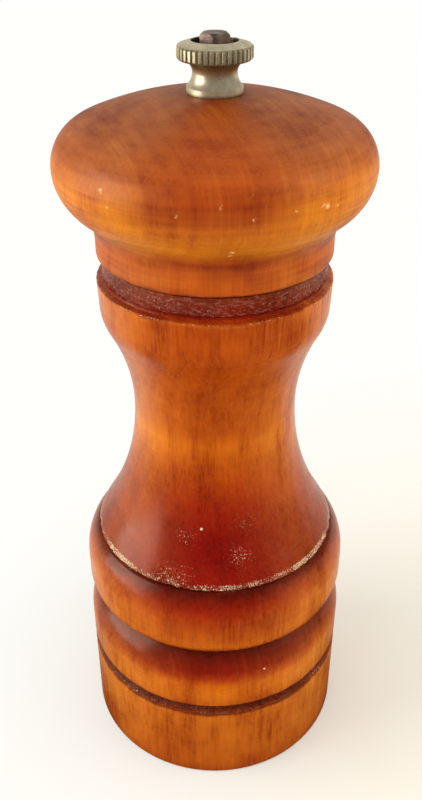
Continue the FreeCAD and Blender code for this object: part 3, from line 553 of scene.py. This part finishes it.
# Painted sheen: the head's paler colours towards the left and right of the view, with the same painted shade
# at the collar's bottom edge and under the lip.
head_sheen_side_tones = [
    (103.0, "#A86A34"), (115.0, "#8A3410"), (116.0, "#C06420"), (119.4, "#C4621A"), (121.5, "#B25612"),
    (123.5, "#D07A1C"), (126.5, "#DC8416"), (131.0, "#DA8018"), (133.5, "#C87024"), (135.5, "#AC5A28"),
    (138.0, "#A2562E"), (143.0, "#945230"),
]
head_wood = stained_wood(
    "stained_lacquered_hardwood_head", head_stain_and_shade_tones, head_sheen_side_tones, sheen_reach=0.3,
    gloss_range=(0.42, 0.54), grain_weights=(0.5, 0.5, 0.75, 0.6), hair_amount=0.12, grit_share=0.75,
    chip_peak=0.8, chip_gap=3.2, bare_wood="#E8B478", wear_edge=0.16, rough_bands_with_glints=[],
    wear_bands=[(132.2, 4.5, 0.06, 0.1), (124.4, 1.6, 0.1, 0.1)],
    wear_spots=[((-20.0, -18.0, 131.0), 4.0, 0.12, equator - grip_drop)])
turned_head.data.materials.append(head_wood)
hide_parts("wooden_head")
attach(turned_head, "head")

# Shaft: square steel bar with a thread cut on its corners, which draws the cone up. Only its tip shows,
# in the nut's recess. Age has darkened it, so it looks brown and dull, and only half metallic.
old_steel, _, steel_shader, _ = metal("darkened_steel", "#9A8274", 0.4, "#54423A")
steel_shader.inputs["Metallic"].default_value = 0.6
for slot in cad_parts["drive_shaft"].material_slots:
    slot.material = old_steel

# Nut: turned brass, nickel plated and tarnished, with a waisted stem and a straight-knurled rim.
# It screws down on the shaft and sets how far the cone is drawn up. The plate has a satin, yellowish
# shine, with brown tarnish and painted shade under the rim, between the knurls and in the recess, painted
# shade at its foot and a painted reflection of the wood at the top of its stem.
nut_low_corner, nut_high_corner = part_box("adjusting_nut")
nut_low, nut_top = nut_low_corner.z / MM, nut_high_corner.z / MM
nut_rim_radius, knurl_depth, knurl_wear, knurl_margin = nut_high_corner.x / MM, 0.3, 0.05, 0.1
rim_low, rim_high = nut_low + 5.3, nut_low + 7.6
nut_recess_radius, nut_recess_edge = 4.0, 0.05
nut_recess_low, nut_recess_high = nut_top - 2.0, nut_top - 0.04
# Colour by height, multiplied into the plate: painted shade at the foot where it sits on the head, a painted
# reflection of the wood at the top of the stem, tarnish and painted shade under the rim, paler above.
nut_tarnish_and_shade_tones = [
    (nut_low, "#A89C7C"), (nut_low + 0.5, "#F4F0E0"), (nut_low + 2.6, "#F0E8D8"),
    (nut_low + 3.8, "#B09878"), (rim_low - 0.2, "#5C4830"), (rim_low + 0.2, "#C8BEA4"),
    (rim_high - 0.3, "#E8E0CC"), (nut_top, "#F0ECE0"),
]
# Tarnish and painted shade lie between two radii, from the outer, where there is none, to the inner, where
# they are darkest, and between two heights: (outer, inner, low, high, most).
nut_dirt_and_shade = [
    (nut_rim_radius - knurl_wear, nut_rim_radius - knurl_depth, rim_low + knurl_margin,
     rim_high - knurl_margin, 0.6),
    (nut_recess_radius, nut_recess_radius - nut_recess_edge, nut_recess_low, nut_recess_high, 1.0),
]
tarnished_nickel, tree, shader, mm = metal("tarnished_nickel_plate", "#F0E8D4", 0.31, "#CCC2A8")
plate = shader.inputs["Base Color"].links[0].from_socket
split = add(tree, "SeparateXYZ", {0: mm})
share = add(tree, "MapRange", {"Value": split.outputs["Z"], "From Min": nut_low, "From Max": nut_top})
tarnish_and_shade = add(tree, "ValToRGB", {"Fac": share.outputs["Result"]})
set_stops(tarnish_and_shade, [((z - nut_low) / (nut_top - nut_low), colour(code)) for z, code in nut_tarnish_and_shade_tones])
plate = add(tree, "Mix", {"Factor": 1.0, MIX_A: plate, MIX_B: tarnish_and_shade.outputs["Color"]},
            data_type="RGBA", blend_type="MULTIPLY")
across = add(tree, "Math", {0: split.outputs["X"], 1: 2.0}, operation="POWER")
along = add(tree, "Math", {0: split.outputs["Y"], 1: 2.0}, operation="POWER")
radius = add(tree, "Math", {0: across.outputs[0], 1: along.outputs[0]}, operation="ADD")
radius = add(tree, "Math", {0: radius.outputs[0], 1: 0.5}, operation="POWER")
for outer, inner, low, high, most in nut_dirt_and_shade:
    deep = add(tree, "MapRange", {"Value": radius.outputs[0], "From Min": outer, "From Max": inner,
                                  "To Max": most})
    above = add(tree, "Math", {0: split.outputs["Z"], 1: low}, operation="GREATER_THAN")
    below = add(tree, "Math", {0: split.outputs["Z"], 1: high}, operation="LESS_THAN")
    there = add(tree, "Math", {0: above.outputs[0], 1: below.outputs[0]}, operation="MULTIPLY")
    shade_and_dirt = add(tree, "Math", {0: deep.outputs["Result"], 1: there.outputs[0]}, operation="MULTIPLY")
    # Dark brown mixed in as tarnish and painted shade in the knurl valleys and the recess.
    plate = add(tree, "Mix", {"Factor": shade_and_dirt.outputs[0], MIX_A: plate.outputs[MIXED],
                              MIX_B: colour("#3E3222")}, data_type="RGBA")
tree.links.new(plate.outputs[MIXED], shader.inputs["Base Color"])
shader.inputs["Metallic"].default_value = 0.7
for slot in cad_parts["adjusting_nut"].material_slots:
    slot.material = tarnished_nickel

# Stage: a pale, matt table in a pale room. Far from the mill the camera sees the table as white, near it
# the soft shadow on the right stays. Reflections see it bright only on its far side, which gives the
# mill's outer edges their pale sheen. Places on the table are in millimetres, its size in metres.
table_reach = 3.0
shadow_middle, shadow_reach, white_from = (95.0, -10.0, 0.0), 60.0, 170.0
far_way, near_line, far_line = (-0.12, 1.0, 0.0), -5.0, 40.0
near_sheen, far_sheen = 0.02, 0.85
table_mesh = bpy.data.meshes.new("table")
bm = bmesh.new()
bmesh.ops.create_grid(bm, x_segments=1, y_segments=1, size=table_reach)
bm.to_mesh(table_mesh)
bm.free()
table = bpy.data.objects.new("table", table_mesh)
bpy.context.scene.collection.objects.link(table)
pale_table, tree, shader, mm = new_material("pale_table")
shader.inputs["Base Color"].default_value = colour("#DDDACF")
shader.inputs["Roughness"].default_value = 0.7
ray = add(tree, "LightPath")
distance = add(tree, "VectorMath", {0: mm, 1: shadow_middle}, operation="DISTANCE")
white = add(tree, "MapRange", {"Value": distance.outputs["Value"], "From Min": shadow_reach,
                               "From Max": white_from})
white = add(tree, "Math", {0: ray.outputs["Is Camera Ray"], 1: white.outputs["Result"]}, operation="MULTIPLY")
glow = add(tree, "Emission", {"Color": colour("#FFFFFC"), "Strength": 1.0})
farness = add(tree, "VectorMath", {0: mm, 1: far_way}, operation="DOT_PRODUCT")
sheen = add(tree, "MapRange", {"Value": farness.outputs["Value"], "From Min": near_line, "From Max": far_line,
                               "To Min": near_sheen, "To Max": far_sheen})
mirrored = add(tree, "Emission", {"Color": colour("#FFF6EA"), "Strength": sheen.outputs["Result"]})
mixed = add(tree, "MixShader", {"Fac": white.outputs[0], 1: shader.outputs[0], 2: glow.outputs[0]})
mixed = add(tree, "MixShader", {"Fac": ray.outputs["Is Glossy Ray"], 1: mixed.outputs[0],
                                2: mirrored.outputs[0]})
tree.links.new(mixed.outputs[0], tree.nodes["Material Output"].inputs["Surface"])
table_mesh.materials.append(pale_table)

# Room: white to the camera, a little dimmer as the light on the mill, and dark in reflections except
# towards the back.
room_light, front_mirror, back_mirror = 0.8, 0.03, 0.5
room = bpy.data.worlds.new("pale_room")
bpy.context.scene.world = room
room.use_nodes = True
tree = room.node_tree
sky = tree.nodes["Background"]
sky.inputs["Color"].default_value = colour("#FFFCF6")
ray = add(tree, "LightPath")
way = add(tree, "SeparateXYZ", {0: add(tree, "TexCoord").outputs["Generated"]})
back_wall = add(tree, "MapRange", {"Value": way.outputs["Y"], "From Min": 0.3, "From Max": 0.9,
                                   "To Min": front_mirror, "To Max": back_mirror})
level = add(tree, "MapRange", {"Value": ray.outputs["Is Glossy Ray"], "To Min": room_light,
                               "To Max": back_wall.outputs["Result"]})
level = add(tree, "Math", {0: level.outputs["Result"], 1: ray.outputs["Is Camera Ray"]}, operation="MAXIMUM")
tree.links.new(level.outputs[0], sky.inputs["Strength"])

# Lights: two soft windows and a ceiling, all square and aimed at the mill's middle. Only the left window
# is seen in reflections, as the broad sheen on the flare. Metres and watts.
light_size, light_aim = 0.5, Vector((0, 0, 0.08))
for name, place, watts, in_reflections in [
        ("window_left", (-0.62, -0.12, 0.24), 3.9, True),
        ("window_right", (0.56, -0.14, 0.36), 2.9, False),
        ("ceiling", (0.0, -0.1, 0.9), 1.6, False)]:
    lamp = bpy.data.lights.new(name, "AREA")
    lamp.size, lamp.energy = light_size, watts
    holder = bpy.data.objects.new(name, lamp)
    holder.location = place
    holder.rotation_euler = (light_aim - Vector(place)).to_track_quat("-Z", "Y").to_euler()
    holder.visible_glossy = in_reflections
    bpy.context.scene.collection.objects.link(holder)

# Camera: close to the mill and above it, looking down at its middle. The image is 800 pixels high, and
# the mill's axis stands a little to one side of its middle. Metres and degrees.
image_height, focal_pixels, axis_shift_pixels = 800, 872.17, 3.85
camera_back, camera_height, camera_tilt = 0.15097, 0.17740, 32.327
lens = bpy.data.cameras.new("photo_view")
lens.sensor_width = 36
lens.lens = lens.sensor_width * focal_pixels / image_height
lens.shift_x = -axis_shift_pixels / image_height
lens.clip_start = 0.005
camera = bpy.data.objects.new("photo_view", lens)
camera.location = (0, -camera_back, camera_height)
camera.rotation_euler = (math.radians(90 - camera_tilt), 0, 0)
bpy.context.scene.collection.objects.link(camera)
bpy.context.scene.camera = camera
bpy.context.scene.view_settings.view_transform = "Standard"
